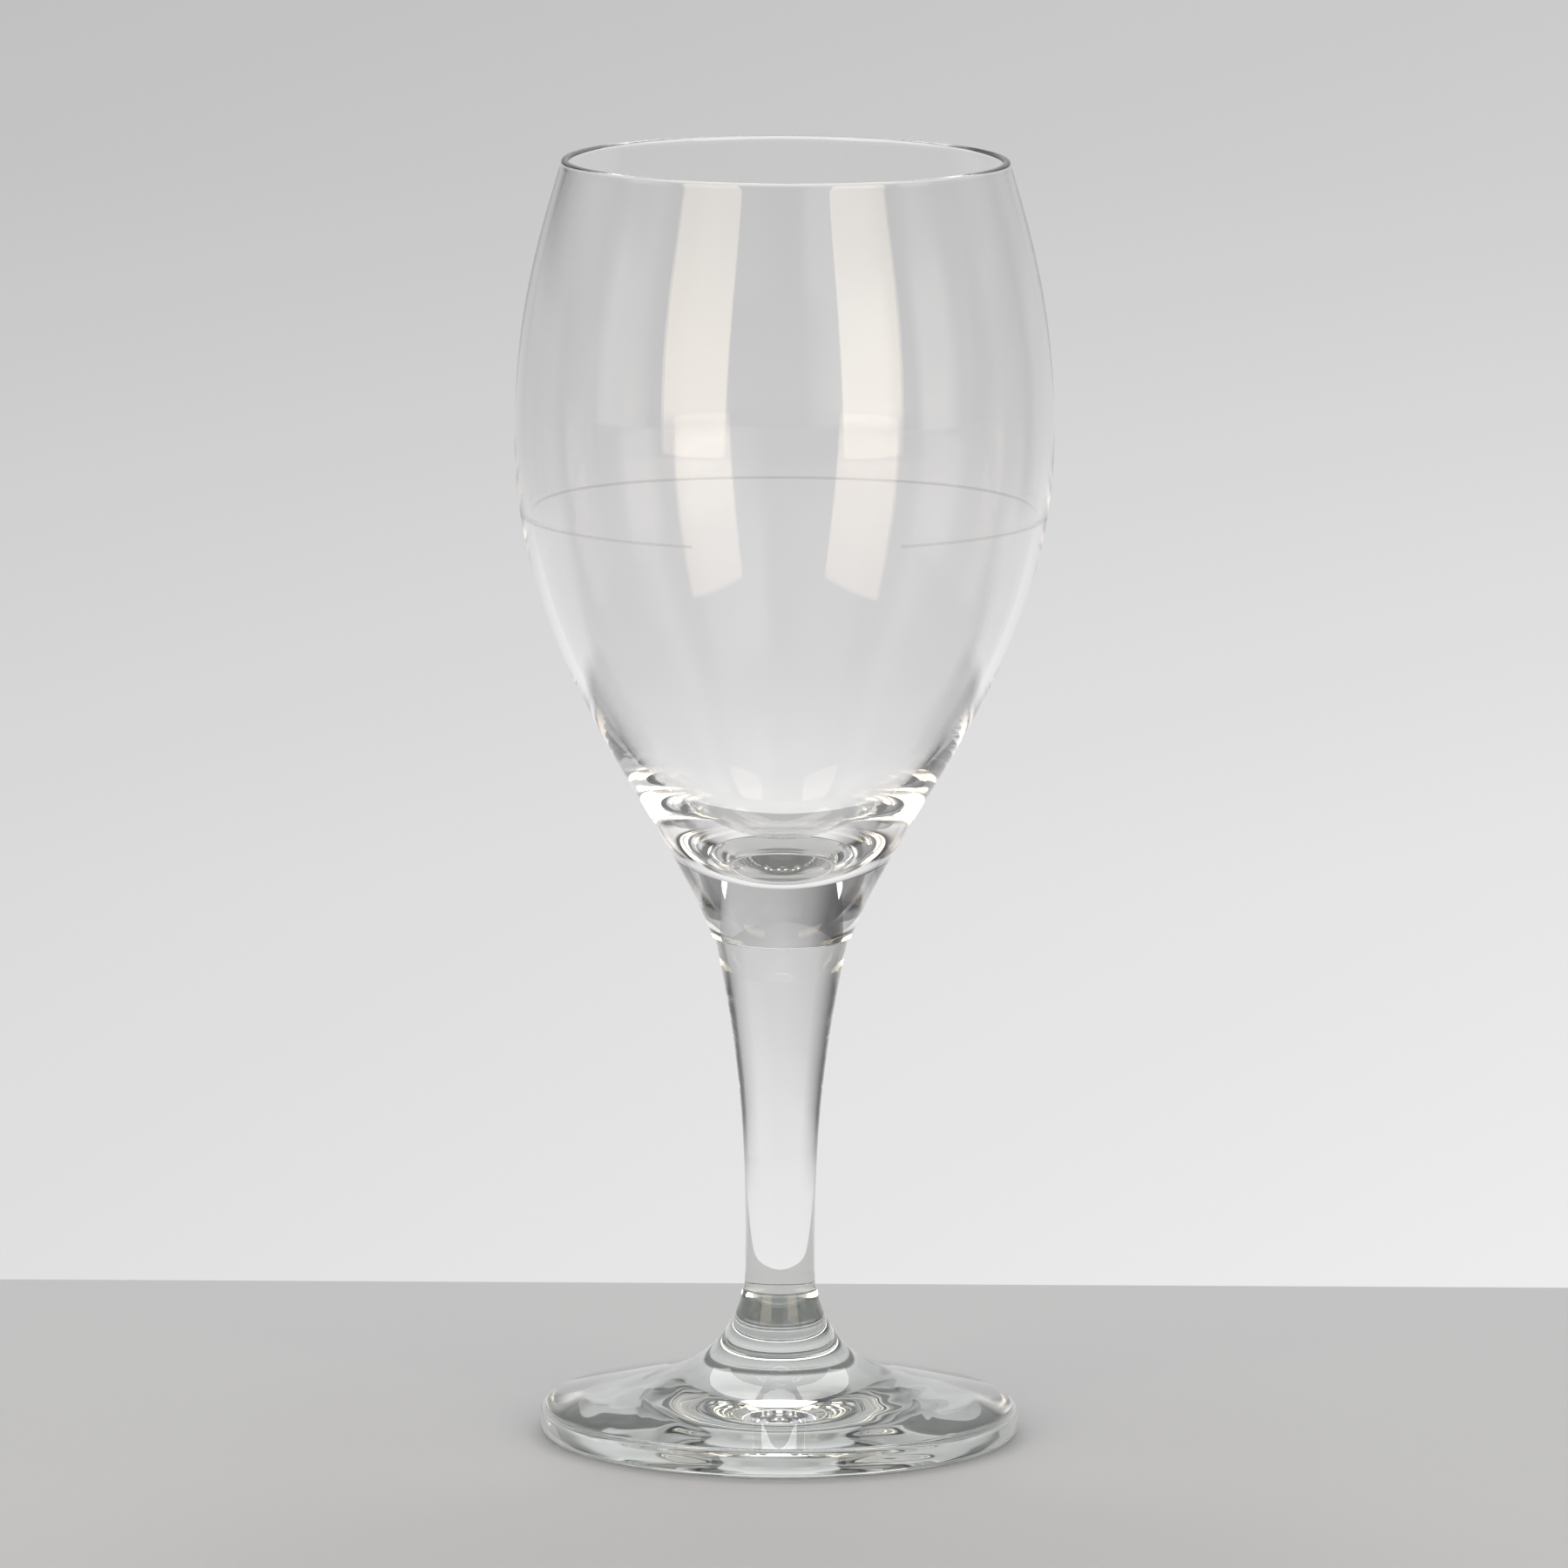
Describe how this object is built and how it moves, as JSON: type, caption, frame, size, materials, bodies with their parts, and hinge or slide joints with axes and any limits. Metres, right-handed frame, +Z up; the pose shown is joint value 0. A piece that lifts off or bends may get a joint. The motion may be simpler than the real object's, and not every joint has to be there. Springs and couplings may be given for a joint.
{
  "type": "stemmed glass",
  "caption": "Clear stemmed drinking glass with an egg-shaped bowl on a thick solid base, a tapered stem and a round foot, and a thin fill line round the bowl.",
  "frame": {"origin": "centre of the ring that the foot rests on, at its lowest level", "axes": "+Z up along the axis of the glass, from the foot to the rim; the front, where the fill line has its gap, faces -Y"},
  "size_m": [0.0732, 0.0732, 0.1754],
  "materials": {
    "bowl_glass": "blown clear soda-lime glass, fire-polished",
    "stem_glass": "pressed clear soda-lime glass, fire-polished",
    "foot_glass": "pressed clear soda-lime glass, slightly wavy underneath",
    "line_print": "thin fired white print, dull"
  },
  "bodies": {
    "root": {"bowl": "bowl_glass", "stem": "stem_glass", "foot": "foot_glass", "fill_line": "line_print"}
  },
  "joints": []
}
